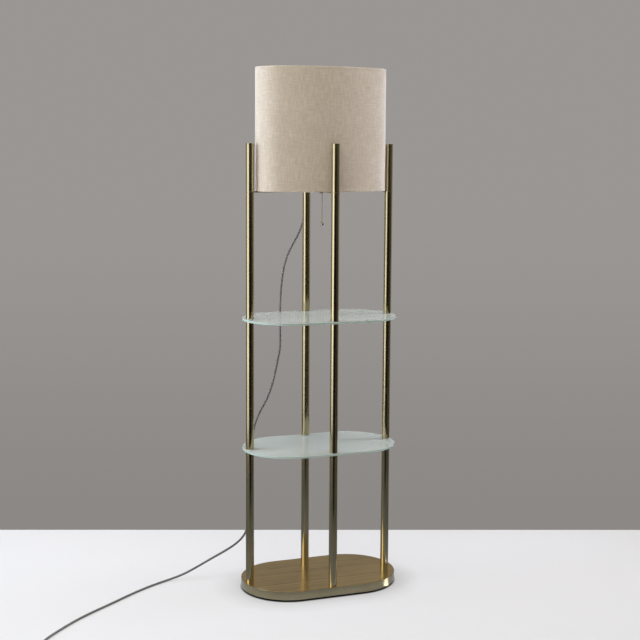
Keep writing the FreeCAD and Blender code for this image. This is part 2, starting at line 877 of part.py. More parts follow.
def bulb_profile(inset):
    """Half the outline of the bulb's glass above its metal base, drawn in by an inset."""
    neck, radius = mm("bulb_neck_diameter") / 2 - inset, mm("bulb_diameter") / 2 - inset
    low = inset
    middle = mm("bulb_glass_length") - mm("bulb_diameter") / 2
    shoulder = Vector(neck, 0, mm("bulb_neck_length"))
    away = Vector(0, 0, middle) - shoulder
    spread = math.asin(radius / away.Length)
    reach = math.sqrt(away.Length**2 - radius**2)
    heading = math.atan2(away.z, away.x) - spread
    touch = shoulder + Vector(math.cos(heading), 0, math.sin(heading)) * reach
    crown = Vector(0, 0, middle + radius)
    between = Vector(radius, 0, middle)
    floor, foot = Vector(0, 0, low), Vector(neck, 0, low)
    edges = [
        Part.makeLine(floor, foot),
        Part.makeLine(foot, shoulder),
        Part.makeLine(shoulder, touch),
        Part.Arc(touch, between, crown).toShape(),
        Part.makeLine(crown, floor),
    ]
    return Part.Face(Part.Wire(edges))


def make_bulb():
    turn = (Vector(0, 0, 0), Vector(0, 0, 1), 360)
    glass = bulb_profile(0).revolve(*turn).cut(bulb_profile(mm("bulb_wall")).revolve(*turn))
    bulb = add_part("bulb_glass", glass)
    bulb.Placement = at(Vector(0, 0, glass_bottom.number))
    base = new_body("bulb_base", z=bulb_bottom)
    outer = s.bulb_base_diameter / 2
    tip, top = s.contact_diameter / 2, s.bulb_base_length
    revolve(base, [(0, 0), (tip, 0), (outer, s.bulb_tip_height), (outer, top), (0, top)])


# ---------------------------------------------------------------- pull chain


def bead_string(length):
    """A string of beads on its thin links, hanging from the origin."""
    pitch, radius = mm("bead_pitch"), mm("bead_diameter") / 2
    count = max(1, int(length / pitch))
    core = Part.makeCylinder(mm("bead_link") / 2, length)
    core.translate(Vector(0, 0, -length))
    beads = []
    for step in range(count):
        bead = Part.makeSphere(radius)
        bead.translate(Vector(0, 0, -radius - step * pitch))
        beads.append(bead)
    return core.multiFuse(beads)


def make_chain():
    turn = math.radians(mm("chain_angle"))
    outward = Vector(math.cos(turn), math.sin(turn), 0)
    shell = shell_diameter.number / 2 + mm("press_gap")
    corner = chain_point(guide_z)
    mouth = chain_point(guide_z - s.guide_drop)
    root = outward * (shell - mm("holder_shell_wall")) + Vector(0, 0, corner.z)
    path, _ = bent_path([root, corner, mouth], mm("guide_bend"))
    flange = Part.makeCylinder(mm("guide_flange") / 2, mm("holder_shell_wall") * 2, root, outward)
    round_shell = Part.makeCylinder(shell, mm("guide_flange") * 2)
    round_shell.translate(Vector(0, 0, corner.z - mm("guide_flange")))
    deep = mm("guide_channel")
    channel = Part.makeCylinder(mm("guide_bore") / 2, deep, mouth, Vector(0, 0, 1))
    guide = tube(path, mm("guide_diameter")).fuse(flange).cut(round_shell).cut(channel)
    add_part("chain_guide", guide.removeSplitter())

    lift = deep - mm("fit_gap")
    stub = bead_string(mm("stub_length") + lift - mm("coupling_length"))
    stub.translate(Vector(0, 0, lift))
    coupling = disc(mm("coupling_diameter"), mm("coupling_length"))
    rims = coupling.Edges[:1] + coupling.Edges[2:]
    coupling = coupling.makeFillet(mm("coupling_edge"), rims)
    coupling.translate(Vector(0, 0, -mm("stub_length")))
    stub = stub.fuse(coupling)
    stub.translate(mouth)
    add_part("chain_stub", stub)

    chain = bead_string(mm("chain_length"))
    chain.translate(chain_point(hinge_z - s.hinge_gap))
    add_part("pull_chain", chain)
    ball = Part.makeSphere(mm("ball_diameter") / 2)
    sunk = mm("bead_diameter") / 2
    ball.translate(chain_point(hinge_z - s.hinge_gap - s.chain_length - s.ball_diameter / 2 + sunk))
    add_part("chain_ball", ball.cut(chain))


# ---------------------------------------------------------------- wires, lead, coil, plug

# The lead's free route behind the lamp and over the floor, for a boot that ends at ROUTE_TIP.
ROUTE_TIP = Vector(0, 152.4, 1161)
ROUTE = [
    (0, 158.1, 1139.7),
    (-7, 162, 1110),
    (-22, 165, 1078),
    (-42, 167, 1044),
    (-58, 168, 1004),
    (-67, 168, 958),
    (-72, 167.5, 905),
    (-74.5, 167, 848),
    (-75, 166, 790),
    (-73, 165.5, 735),
    (-82, 166, 688),
    (-92, 166, 645),
    (-103, 166, 601),
    (-122, 165.5, 558),
    (-145, 165, 521),
    (-161, 165, 482),
    (-170, 164.5, 432),
    (-173.5, 164, 378),
    (-174.5, 163, 320),
    (-175, 162, 262),
    (-177, 161, 206),
    (-183, 160, 155),
    (-198, 160, 121),
    (-226, 160, 98),
    (-262, 160, 79),
    (-305, 160, 60),
    (-350, 161, 38),
    (-398, 163, 16),
    (-446, 164, 3.6),
    (-497, 136, 3.6),
    (-545, 104, 3.6),
    (-600, 62, 3.6),
    (-655, 16, 3.6),
    (-712, -28, 3.6),
    (-764, -72, 3.6),
    (-812, -120, 3.6),
    (-855, -168, 3.6),
    (-886, -205, 3.6),
]
COIL_MIDDLE = Vector(-876, -291, 0)
COIL_START = 150
COIL_QUARTERS = 12


def arc_between(start, heading, end):
    """The arc from start, along its heading there, to end."""
    chord = end - start
    lean = heading.getAngle(chord)
    side = (heading - chord * (heading.dot(chord) / chord.dot(chord))).normalize()
    middle = (start + end) * 0.5 + side * (chord.Length / 2 * math.tan(lean / 2))
    return Part.Arc(start, middle, end).toShape()


def biarc(start, leave, end, arrive):
    """Two arcs that leave start and reach end along the given headings."""
    chord, both = end - start, leave + arrive
    turn = 2 * (1 - leave.dot(arrive))
    along = chord.dot(both)
    reach = (math.sqrt(along**2 + turn * chord.dot(chord)) - along) / turn
    joint = (start + end + (leave - arrive) * reach) * 0.5
    back = arc_between(end, arrive * -1, joint)
    return [arc_between(start, leave, joint), back]


def polar(angle, radius, height):
    turn = math.radians(angle)
    return Vector(radius * math.cos(turn), radius * math.sin(turn), height) + COIL_MIDDLE


def coil_knots():
    """The coil's quarter turns: spiral in on the floor, climb a layer, spiral out on top."""
    floor = mm("cord_diameter") / 2 + mm("floor_gap")
    half = COIL_QUARTERS / 2
    knots = []
    for quarter in range(COIL_QUARTERS + 1):
        angle = COIL_START + quarter * 90
        inward = half - abs(quarter - half)
        radius = mm("coil_outer_radius") - mm("coil_pitch") * inward / 4
        climbed = min(1, max(0, (quarter - half + 1) / 2))
        slope = mm("coil_layer") / (math.pi * radius) if quarter == half else 0
        knots.append((angle, radius, floor + mm("coil_layer") * climbed, slope))
    beside = mm("coil_outer_radius") + (mm("cord_diameter") + mm("plug_width")) / 2
    beside += mm("plug_clearance")
    knots.append((angle + 90, beside, mm("plug_thickness") / 2, 0))
    return knots


def coil_path():
    places, headings = [], []
    for angle, radius, height, slope in coil_knots():
        turn = math.radians(angle)
        places.append(polar(angle, radius, height))
        headings.append(Vector(-math.sin(turn), math.cos(turn), slope).normalize())
    straight = mm("cord_diameter")
    start = places[0] - headings[0] * straight
    end = places[-1] + headings[-1] * straight
    edges = [Part.makeLine(start, places[0])]
    for here, there, leave, arrive in zip(places, places[1:], headings, headings[1:]):
        edges += biarc(here, leave, there, arrive)
    edges.append(Part.makeLine(places[-1], end))
    return Part.Wire(Part.sortEdges(edges)[0]), start, headings[0], end, headings[-1]


def least_gap(path, diameter):
    """The least gap of a wound tube to its own other turns, measured on points."""
    step = diameter / 4
    points = path.discretize(Distance=step)
    skip = int(diameter * 3 / step)
    nearest = min(
        (one - other).Length
        for place, one in enumerate(points)
        for other in points[place + skip :]
    )
    return nearest - diameter


def check_tube(name, path, solid, diameter):
    wanted = path.Length * math.pi * (diameter / 2) ** 2
    print(f"{name}: length {path.Length:.0f} mm, volume off by {solid.Volume / wanted - 1:+.2%}")
    if abs(solid.Volume / wanted - 1) > 0.02:
        raise SystemExit(f"{name} has the wrong volume")


def make_wires():
    """The two insulated wires from the lampholder through the back pole to the bush."""
    radius = mm("wire_diameter") / 2
    back = pole_place("back")[1].number
    over = frame_top.number + radius + mm("fit_gap")
    under = frame_bottom.number - radius - mm("fit_gap")
    slot, half = wire_slot_centre.number, mm("wire_slot_length") / 2
    wall = mm("stud_diameter") / 2 + mm("insert_groove_wall")
    inside = back - wall - radius - mm("wire_wall_gap")
    wires = []
    for side in (-1, 1):
        x = side * (radius + mm("press_gap"))
        corners = [
            (0, cap_bottom.number + mm("holder_cap_wall")),
            (0, over),
            (slot - half + radius * 2, over),
            (slot + half - radius * 2, under),
            (inside, under),
            (inside, bush_level.number),
            (bush_inner_end() - mm("press_gap"), bush_level.number),
        ]
        path, _ = bent_path([Vector(x, y, z) for y, z in corners], mm("wire_bend"))
        wires.append(tube(path, mm("wire_diameter")))
    add_part("lead_wires", Part.makeCompound(wires))


def bush_inner_end():
    back = pole_place("back")[1].number
    return back + mm("pole_diameter") / 2 - mm("pole_wall") - mm("bush_stub_inside")


def boot_line():
    """Where the boot starts behind the back pole and the way that it points."""
    back = pole_place("back")[1].number + mm("pole_diameter") / 2
    lean = math.radians(mm("bush_lean"))
    start = Vector(0, back + mm("bush_boss_reach") - mm("boot_sunk"), bush_level.number)
    return start, Vector(0, math.sin(lean), -math.cos(lean))


def make_bush():
    back = pole_place("back")[1].number
    height, outward = bush_level.number, Vector(0, 1, 0)
    end = back + mm("pole_diameter") / 2 + mm("bush_boss_reach")
    stub_start = Vector(0, bush_inner_end(), height)
    stub = Part.makeCylinder(mm("bush_stub_diameter") / 2, end - stub_start.y, stub_start, outward)
    boss_start = Vector(0, back + mm("pole_diameter") / 4, height)
    boss = Part.makeCylinder(mm("bush_boss_diameter") / 2, end - boss_start.y, boss_start, outward)
    pole = disc(mm("pole_diameter") + mm("press_gap") * 2, mm("bush_boss_diameter") * 2)
    pole.translate(Vector(0, back, height - mm("bush_boss_diameter")))
    start, way = boot_line()
    wide, narrow = mm("boot_wide") / 2, mm("boot_narrow") / 2
    boot = Part.makeCone(wide, narrow, mm("boot_length"), start, way)
    add_part("cord_bush", boss.fuse(boot).cut(pole).fuse(stub).removeSplitter())


def route_points(tip):
    """The route's points, moved and stretched to a boot that ends at tip."""
    floor = mm("cord_diameter") / 2 + mm("floor_gap")
    stretch = (tip.z - floor) / (ROUTE_TIP.z - floor)
    along = tip.y - ROUTE_TIP.y
    return [Vector(x, y + along, floor + (z - floor) * stretch) for x, y, z in ROUTE]


def make_lead():
    diameter = mm("cord_diameter")
    boot_start, way = boot_line()
    coil, coil_start, coil_way, coil_end, plug_way = coil_path()
    tip = boot_start + way * mm("boot_length")
    points = [tip] + route_points(tip)
    points += [coil_start - coil_way * mm("coil_approach"), coil_start]
    path, radii = bent_path(points)
    print("lead radii:", ", ".join(f"{radius:.0f}" for radius in radii))
    lead = tube(path, diameter)
    check_tube("power_cord", path, lead, diameter)
    add_part("power_cord", lead)

    wound = tube(coil, diameter)
    check_tube("cord_coil", coil, wound, diameter)
    print(f"coil: least gap {least_gap(coil, diameter):.2f} mm")
    print(f"lead in all: {path.Length + coil.Length:.0f} mm")
    add_part("cord_coil", wound)
    return coil_end, plug_way


def make_plug(place):
    body = keep(doc.addObject("PartDesign::Body", "plug_body"))
    end = new_sketch(body, "end", "YZ_Plane")
    add_box(end, s.plug_width, s.plug_thickness)
    pad(body, end, s.plug_length)
    length = mm("plug_length")
    round_edges(body, s.plug_corner, lambda edge: edge.BoundBox.XLength > length / 2)
    body.Placement = place

    size = Vector(mm("blade_length"), mm("blade_thickness"), mm("blade_width"))
    blades = []
    for side in (-1, 1):
        blade = Part.makeBox(size.x, size.y, size.z)
        middle = side * mm("blade_spacing") / 2
        blade.translate(Vector(mm("plug_length"), middle - size.y / 2, -size.z / 2))
        blades.append(blade)
    blade_pair = add_part("plug_blades", Part.makeCompound(blades))
    blade_pair.Placement = place


# ---------------------------------------------------------------- the whole lamp

make_base()
make_poles()
make_shelves()
make_frame()
make_shade()
make_nipple()
make_holder()
make_bulb()
make_chain()
make_wires()
make_bush()
plug_start, plug_heading = make_lead()
make_plug(at(plug_start, Rotation(Vector(1, 0, 0), plug_heading)))
doc.recompute()

for thing in doc.Objects:
    if "Invalid" in thing.State or "Error" in thing.State:
        raise SystemExit(f"{thing.Label} failed: {thing.State}")
    if thing.isDerivedFrom("PartDesign::Pocket"):
        if thing.Shape.Volume > thing.BaseFeature.Shape.Volume - 0.01:
            raise SystemExit(f"{thing.Label} cuts nothing")
for thing in subparts:
    if thing.Shape.isNull() or not thing.Shape.isValid() or not thing.Shape.Solids:
        raise SystemExit(f"{thing.Label} has no valid solid")

os.makedirs("parts", exist_ok=True)
for thing in subparts:
    thing.Shape.exportStep(os.path.join("parts", f"{thing.Label}.step"))
print(f"{len(subparts)} sub-parts written")
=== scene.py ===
import math

import bpy
from mathutils import Matrix, Vector


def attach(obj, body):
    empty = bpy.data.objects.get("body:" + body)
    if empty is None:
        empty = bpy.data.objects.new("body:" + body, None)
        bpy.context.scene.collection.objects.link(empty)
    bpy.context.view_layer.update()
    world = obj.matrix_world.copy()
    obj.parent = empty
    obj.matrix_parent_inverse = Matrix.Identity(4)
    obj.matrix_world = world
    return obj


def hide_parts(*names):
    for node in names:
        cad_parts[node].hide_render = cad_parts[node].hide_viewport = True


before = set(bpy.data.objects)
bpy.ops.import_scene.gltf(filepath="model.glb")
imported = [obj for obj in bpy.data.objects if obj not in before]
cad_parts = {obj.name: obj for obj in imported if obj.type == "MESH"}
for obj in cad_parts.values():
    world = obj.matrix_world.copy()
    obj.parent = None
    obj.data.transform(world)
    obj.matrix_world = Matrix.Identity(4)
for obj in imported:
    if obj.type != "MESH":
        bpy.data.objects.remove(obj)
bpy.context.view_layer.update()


# ---------------------------------------------------------------- node trees

class Reading:
    """A socket that takes part in Python sums, each of which adds its Math node."""

    def __init__(self, finish, socket):
        self.finish = finish
        self.socket = socket

    def math(self, operation, *values):
        settings = {"operation": operation}
        return self.finish.node("ShaderNodeMath", settings, dict(enumerate(values)))

    def __add__(self, other):
        return self.math("ADD", self, other)

    def __radd__(self, other):
        return self.math("ADD", other, self)

    def __sub__(self, other):
        return self.math("SUBTRACT", self, other)

    def __rsub__(self, other):
        return self.math("SUBTRACT", other, self)

    def __mul__(self, other):
        return self.math("MULTIPLY", self, other)

    def __rmul__(self, other):
        return self.math("MULTIPLY", other, self)

    def __truediv__(self, other):
        return self.math("DIVIDE", self, other)

    def __abs__(self):
        return self.math("ABSOLUTE", self)

    def __pow__(self, other):
        return self.math("POWER", self, other)

    def __gt__(self, other):
        return self.math("GREATER_THAN", self, other)

    def __lt__(self, other):
        return self.math("LESS_THAN", self, other)

    def wave(self):
        return self.math("SINE", self)

    def fraction(self):
        return self.math("FRACT", self)

    def whole(self):
        return self.math("FLOOR", self)

    def most(self, other):
        return self.math("MAXIMUM", self, other)

    def between(self, low, high, new_low=0.0, new_high=1.0):
        """Eased from new_low to new_high as the value goes from low to high."""
        settings = {"interpolation_type": "SMOOTHSTEP"}
        values = {0: self, 1: low, 2: high, 3: new_low, 4: new_high}
        return self.finish.node("ShaderNodeMapRange", settings, values)


class Finish:
    """One material, or the world, from its coordinates to its surface."""

    def __init__(self, name, holder=None):
        self.holder = holder or bpy.data.materials.new(name)
        self.holder.use_nodes = True
        self.tree = self.holder.node_tree
        self.tree.nodes.clear()

    def node(self, kind, settings=None, values=None, output=0):
        """A new node: its settings first, then the numbers or links of its sockets."""
        made = self.tree.nodes.new(kind)
        for name, value in (settings or {}).items():
            if name == "stops":
                self.set_stops(made.color_ramp, value)
            else:
                setattr(made, name, value)
        for name, value in (values or {}).items():
            if isinstance(value, Reading):
                self.tree.links.new(value.socket, made.inputs[name])
            else:
                made.inputs[name].default_value = value
        return Reading(self, made.outputs[output]) if made.outputs else None

    @staticmethod
    def set_stops(ramp, stops):
        while len(ramp.elements) < len(stops):
            ramp.elements.new(1)
        for element, (place, colour) in zip(ramp.elements, stops):
            element.position = place
            element.color = (*colour, 1)

    def place(self, stretch=(1, 1, 1)):
        """The point on the lamp in metres, scaled along each axis."""
        point = self.node("ShaderNodeTexCoord", output="Object")
        return self.node("ShaderNodeVectorMath", {"operation": "MULTIPLY"}, {0: point, 1: stretch})

    def split(self, vector):
        return [self.node("ShaderNodeSeparateXYZ", None, {0: vector}, axis) for axis in "XYZ"]

    def upward(self):
        """How far a face looks up (1), sideways (0) or down (-1)."""
        return self.split(self.node("ShaderNodeTexCoord", output="Normal"))[2]

    def rays(self, *kinds):
        """1 to the rays of these kinds and 0 to all others."""
        readings = [self.node("ShaderNodeLightPath", output=kind) for kind in kinds]
        any_of_them = readings[0]
        for reading in readings[1:]:
            any_of_them = any_of_them.most(reading)
        return any_of_them

    def noise(self, vector, detail=3.0, scale=1.0, rough=0.5):
        values = {"Vector": vector, "Scale": scale, "Detail": detail, "Roughness": rough}
        return self.node("ShaderNodeTexNoise", None, values)

    def mix(self, share, first, second, how="MIX"):
        """A colour between two colours."""
        first, second = [c if isinstance(c, Reading) else (*c, 1) for c in (first, second)]
        settings = {"data_type": "RGBA", "blend_type": how}
        return self.node("ShaderNodeMix", settings, {0: share, 6: first, 7: second}, 2)

    def ramp(self, share, *stops):
        return self.node("ShaderNodeValToRGB", {"stops": stops}, {0: share})

    def relief(self, height, depth, strength=1.0):
        """A bump whose full height is depth metres."""
        values = {"Strength": strength, "Distance": depth, "Height": height}
        return self.node("ShaderNodeBump", None, values)

    def surface(self, **values):
        """The principled surface: base_color=... goes to its Base Color, and so on."""
        sockets = {}
        for name, value in values.items():
            sockets[name.replace("_", " ").title().replace("Ior", "IOR")] = value
        self.end(self.node("ShaderNodeBsdfPrincipled", None, sockets))
        return self.holder

    def end(self, shader):
        self.node("ShaderNodeOutputMaterial", None, {"Surface": shader})


def grey(level):
    return (level, level, level)


# ---------------------------------------------------------------- camera

VIEW_TURN = math.radians(20.26)
VIEW_BACK = 3.8764
VIEW_HEIGHT = 1.3697
VIEW_DOWN = math.radians(6.46)
VIEW_ROLL = math.radians(0.35)
VIEW_LENS = 71.09
VIEW_SHIFT = -0.0468
INWARD = Vector((math.sin(VIEW_TURN), math.cos(VIEW_TURN), 0))
RIGHTWARD = Vector((math.cos(VIEW_TURN), -math.sin(VIEW_TURN), 0))


def set_camera():
    bpy.context.scene.view_settings.view_transform = "Standard"
    sight = bpy.data.cameras.new("camera")
    sight.sensor_width = 36
    sight.lens = VIEW_LENS
    sight.shift_y = VIEW_SHIFT
    camera = bpy.data.objects.new("camera", sight)
    bpy.context.scene.collection.objects.link(camera)
    ahead = INWARD * math.cos(VIEW_DOWN) + Vector((0, 0, -math.sin(VIEW_DOWN)))
    up = RIGHTWARD.cross(ahead)
    right = RIGHTWARD * math.cos(VIEW_ROLL) + up * math.sin(VIEW_ROLL)
    up = up * math.cos(VIEW_ROLL) - RIGHTWARD * math.sin(VIEW_ROLL)
    turned = Matrix((right, up, -ahead)).transposed().to_4x4()
    stand = INWARD * -VIEW_BACK + Vector((0, 0, VIEW_HEIGHT))
    camera.matrix_world = Matrix.Translation(stand) @ turned
    bpy.context.scene.camera = camera


# ---------------------------------------------------------------- meshes

def add_mesh(name, corners, faces):
    mesh = bpy.data.meshes.new(name)
    mesh.from_pydata(corners, [], faces)
    mesh.validate()
    mesh.polygons.foreach_set("use_smooth", [True] * len(mesh.polygons))
    piece = bpy.data.objects.new(name, mesh)
    bpy.context.scene.collection.objects.link(piece)
    return piece


def add_skin(name, rings, along, around, shut_ends=False):
    """A skin over rings of points, each ring closed, with a map "lay" of (along, around)."""
    count = len(rings[0])
    corners = [point for ring in rings for point in ring]
    faces, spots = [], []
    for row in range(len(rings) - 1):
        low, high = row * count, (row + 1) * count
        near, far = along[row], along[row + 1]
        for side in range(count):
            after = (side + 1) % count
            faces.append((low + side, low + after, high + after, high + side))
            left, right = around[side], around[side + 1]
            spots.append([(near, left), (near, right), (far, right), (far, left)])
    if shut_ends:
        for row in (0, len(rings) - 1):
            ends = list(range(row * count, (row + 1) * count))
            faces.append(ends[::-1] if row == 0 else ends)
            spots.append([(along[row], mark) for mark in around[:-1]])
    piece = add_mesh(name, corners, faces)
    layer = piece.data.uv_layers.new(name="lay")
    for polygon, face in zip(piece.data.polygons, spots):
        for corner, spot in zip(polygon.loop_indices, face):
            layer.data[corner].uv = spot
    return piece


def hoops(line, radius, sides):
    """Rings of points square to a line, turned with it so that they never twist."""
    turns = [math.tau * side / sides for side in range(sides)]
    upright = (line[1] - line[0]).normalized().orthogonal().normalized()
    rings = []
    for index, point in enumerate(line):
        before, after = line[max(index - 1, 0)], line[min(index + 1, len(line) - 1)]
        heading = (after - before).normalized()
        upright = (upright - heading * upright.dot(heading)).normalized()
        across = heading.cross(upright)
        rings.append([
            point + (upright * math.cos(turn) + across * math.sin(turn)) * radius for turn in turns
        ])
    return rings


def lengths(line):
    """How far along the line each of its points is."""
    marks = [0.0]
    for here, there in zip(line, line[1:]):
        marks.append(marks[-1] + (there - here).length)
    return marks


# ---------------------------------------------------------------- mains lead

CORD = 0.007
CORD_SIDES = 14
CORD_SMOOTHNESS = 12
CORD_EXIT = (0, 0.152447, 1.160954)
# The lead's way in millimetres: down behind the shelves, off the back of the base, over the floor.
CORD_ROUTE = [
    (0, 158.1, 1139.7), (-7, 162, 1110), (-22, 165, 1078), (-42, 167, 1044), (-58, 168, 1004),
    (-67, 168, 958), (-72, 167.5, 905), (-74.5, 167, 848), (-75, 166, 790), (-73, 165.5, 735),
    (-82, 166, 688), (-92, 166, 645), (-103, 166, 601), (-122, 165.5, 558), (-145, 165, 521),
    (-161, 165, 482), (-170, 164.5, 432), (-173.5, 164, 378), (-174.5, 163, 320), (-175, 162, 262),
    (-177, 161, 206), (-183, 160, 155), (-198, 160, 121), (-226, 160, 98), (-262, 160, 79),
    (-305, 160, 60), (-350, 161, 38), (-398, 163, 16), (-446, 164, 3.6), (-497, 136, 3.6),
    (-545, 104, 3.6), (-600, 62, 3.6), (-655, 16, 3.6), (-712, -28, 3.6), (-764, -72, 3.6),
    (-812, -120, 3.6), (-855, -168, 3.6), (-886, -205, 3.6),
]
MILLIMETRES_A_METRE = 1000
# The small coil that its unseen length is put away in.
COIL_MIDDLE = Vector((-0.876, -0.291, 0))
COIL_START = math.radians(150)
COIL_QUARTERS = 12
POINTS_A_QUARTER = 4
COIL_RADIUS = 0.043
COIL_PITCH = 0.0078
COIL_LOW = 0.0036
COIL_CLIMB = 0.0082
COIL_TURNED_OUT = 0.018
COIL_RUN_IN = 0.035
COIL_STEP = 0.007
PLUG_MIDDLE = 0.008


def eased(share):
    share = min(1, max(0, share))
    return share * share * (3 - 2 * share)


def coil_point(quarter):
    """Spiral in on the floor, climb a layer, spiral out on top, then turn out to the plug."""
    half = COIL_QUARTERS / 2
    wound = min(quarter, COIL_QUARTERS)
    radius = COIL_RADIUS - COIL_PITCH * (half - abs(wound - half)) / 4
    height = COIL_LOW + COIL_CLIMB * eased((wound - half + 1) / 2)
    out = eased(quarter - COIL_QUARTERS)
    radius += COIL_TURNED_OUT * out
    height += (PLUG_MIDDLE - height) * out
    # The spline runs inside its control points, so they stand a little outside the turn.
    radius /= math.cos(math.pi / 4 / POINTS_A_QUARTER)
    turn = COIL_START + quarter * math.pi / 2
    return Vector((math.cos(turn) * radius, math.sin(turn) * radius, height)) + COIL_MIDDLE


def coil_heading(quarter):
    turn = COIL_START + quarter * math.pi / 2
    return Vector((-math.sin(turn), math.cos(turn), 0))


def cord_points():
    points = [Vector(CORD_EXIT)]
    points += [Vector(point) / MILLIMETRES_A_METRE for point in CORD_ROUTE]
    start, last = coil_point(0), COIL_QUARTERS + 1
    points += [start - coil_heading(0) * COIL_RUN_IN, start - coil_heading(0) * COIL_STEP]
    points += [coil_point(step / POINTS_A_QUARTER) for step in range(last * POINTS_A_QUARTER + 1)]
    points.append(points[-1] + coil_heading(last) * COIL_STEP)
    return points


def along_spline(points):
    """The points of a smooth spline that has these as its control points."""
    curve = bpy.data.curves.new("cord line", "CURVE")
    curve.dimensions = "3D"
    curve.resolution_u = CORD_SMOOTHNESS
    spline = curve.splines.new("NURBS")
    spline.points.add(len(points) - 1)
    for place, point in zip(spline.points, points):
        place.co = (*point, 1)
    spline.order_u = 3
    spline.use_endpoint_u = True
    holder = bpy.data.objects.new("cord line", curve)
    read = bpy.data.meshes.new_from_object(holder)
    line = [vertex.co.copy() for vertex in read.vertices]
    bpy.data.objects.remove(holder)
    return line


def braid():
    """A textile braid, eight strands each way, charcoal with every fourth strand lighter."""
    f = Finish("charcoal braid")
    along, around, _ = f.split(f.node("ShaderNodeUVMap", {"uv_map": "lay"}))
    strands, turn_length = 8, 0.022
    turns_a_metre = 1 / turn_length
    first = along * (turns_a_metre * strands) + around * strands
    second = along * (turns_a_metre * strands) - around * strands
    over = ((first.whole() + second.whole()) * 0.5).fraction() > 0.25
    upper = over * first.fraction() + (1 - over) * second.fraction()
    crown = 1 - abs(upper * 2 - 1) ** 2
    strand = over * first.whole() + (1 - over) * (second.whole() + 4)
    light = abs((strand / 4).fraction() - 0.5) < 0.01
    fibre = f.noise(f.place(), 4, 2600, 0.7)
    # Painted shade: each strand is darker towards its edges, where it dips under its neighbours;
    # the fibre noise adds random tone.
    shade = crown.between(0, 1, 0.35, 1.0) * fibre.between(0.2, 0.8, 0.75, 1.2)
    dark = f.mix(shade, (0.02, 0.019, 0.0175), (0.16, 0.145, 0.124))
    pale = f.mix(shade, (0.08, 0.074, 0.066), (0.30, 0.268, 0.225))
    return f.surface(
        base_color=f.mix(light, dark, pale), roughness=0.78,
        normal=f.relief(crown * 0.8 + fibre * 0.2, 0.0006), sheen_weight=0.25, sheen_roughness=0.5,
    )


def make_cord():
    line = along_spline(cord_points())
    marks = lengths(line)
    around = [side / CORD_SIDES for side in range(CORD_SIDES + 1)]
    rings = hoops(line, CORD / 2, CORD_SIDES)
    piece = add_skin("braided_lead", rings, marks, around, shut_ends=True)
    piece.data.materials.append(braid())
    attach(piece, "lamp")
    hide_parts("power_cord", "cord_coil")


# ---------------------------------------------------------------- shade

OVAL_LENGTH = 0.412
OVAL_WIDTH = 0.220
OVAL_END = 0.085
SHADE_LOW = 1.2360
SHADE_HIGH = 1.6060
HEM_HEIGHT = 0.0065
HEM_THICKNESS = 0.0002
WALL_MARGIN = 0.01
WALL_ROWS = 24


def oval():
    """Points round the shade's outline with their outward directions, from the back's middle."""
    reach, half = OVAL_LENGTH / 2 - OVAL_END, OVAL_WIDTH / 2
    side = (reach**2 + half**2 - OVAL_END**2) / (2 * (half - OVAL_END))
    drop = side - half
    lean = math.atan2(drop, reach)
    steps = 40
    arcs = [
        ((0, -drop), side, math.pi / 2, math.pi - lean, steps),
        ((-reach, 0), OVAL_END, math.pi - lean, math.pi + lean, steps),
        ((0, drop), side, math.pi + lean, math.tau - lean, 2 * steps),
        ((reach, 0), OVAL_END, -lean, lean, steps),
        ((0, -drop), side, lean, math.pi / 2, steps),
    ]
    places = []
    for (x, y), radius, start, stop, count in arcs:
        for step in range(count):
            turn = start + (stop - start) * step / count
            out = Vector((math.cos(turn), math.sin(turn), 0))
            places.append((Vector((x, y, 0)) + out * radius, out))
    return places


def shade_profile():
    """From the turned edge inside the bottom, up the outside, to the one inside the top."""
    low, high = SHADE_LOW, SHADE_HIGH
    hem, lift = HEM_HEIGHT, HEM_THICKNESS
    bottom = [
        (-0.0058, low + 0.0085), (-0.0058, low + 0.0012), (-0.0050, low + 0.0001),
        (-0.0030, low - 0.0001), (-0.0010, low - 0.0001), (lift - 0.0004, low + 0.0003),
        (lift, low + 0.0012), (lift, low + hem), (lift * 0.6, low + hem + 0.0003),
        (0.0, low + hem + 0.0006),
    ]
    top = [(out, low + high - height) for out, height in reversed(bottom)]
    rise = high - low - 2 * WALL_MARGIN
    wall = [(0.0, low + WALL_MARGIN + rise * row / WALL_ROWS) for row in range(WALL_ROWS + 1)]
    return bottom + wall + top


def linen():
    """Natural linen: fine plain weave with thick and thin yarns running both ways."""
    f = Finish("natural linen")
    up, round_it, _ = f.split(f.node("ShaderNodeUVMap", {"uv_map": "lay"}))
    cloth = f.node("ShaderNodeCombineXYZ", None, {0: round_it, 1: up, 2: 0.0})

    def stretched(across, upward, detail, seed):
        values = {0: cloth, 1: (across, upward, 1)}
        vector = f.node("ShaderNodeVectorMath", {"operation": "MULTIPLY"}, values)
        values = {0: vector, 1: (seed, seed * 2, seed)}
        vector = f.node("ShaderNodeVectorMath", {"operation": "ADD"}, values)
        return f.noise(vector, detail)

    wander_width, pitch = 0.0009, 0.0008
    wander = stretched(60, 60, 2, 3) * wander_width
    weft = ((up + wander) * (math.tau / pitch)).wave()
    warp = ((round_it + wander) * (math.tau / pitch)).wave()
    weave = weft * warp
    rows = stretched(42, 760, 3, 1).between(0.3, 0.75)
    columns = stretched(760, 42, 3, 2).between(0.32, 0.78)
    long_rows = stretched(24, 330, 2, 5).between(0.42, 0.7)
    long_columns = stretched(360, 24, 2, 7).between(0.42, 0.7)
    cloud = stretched(9, 9, 3, 9)
    slub = rows * 0.75 + columns * 0.9
    slub = slub + long_rows * 0.45 + long_columns * 0.7
    tone = slub * 0.38 + cloud * 0.24 + weave * 0.08
    colour = f.ramp(
        tone,
        (0.2, (0.50, 0.396, 0.289)), (0.6, (0.605, 0.498, 0.375)), (1.0, (0.69, 0.59, 0.469)),
    )
    relief = f.relief(weave * 0.35 + slub * 0.5, 0.0002, 0.9)
    return f.surface(
        base_color=colour, roughness=0.9, normal=relief, sheen_weight=1.0, sheen_roughness=0.32,
    )


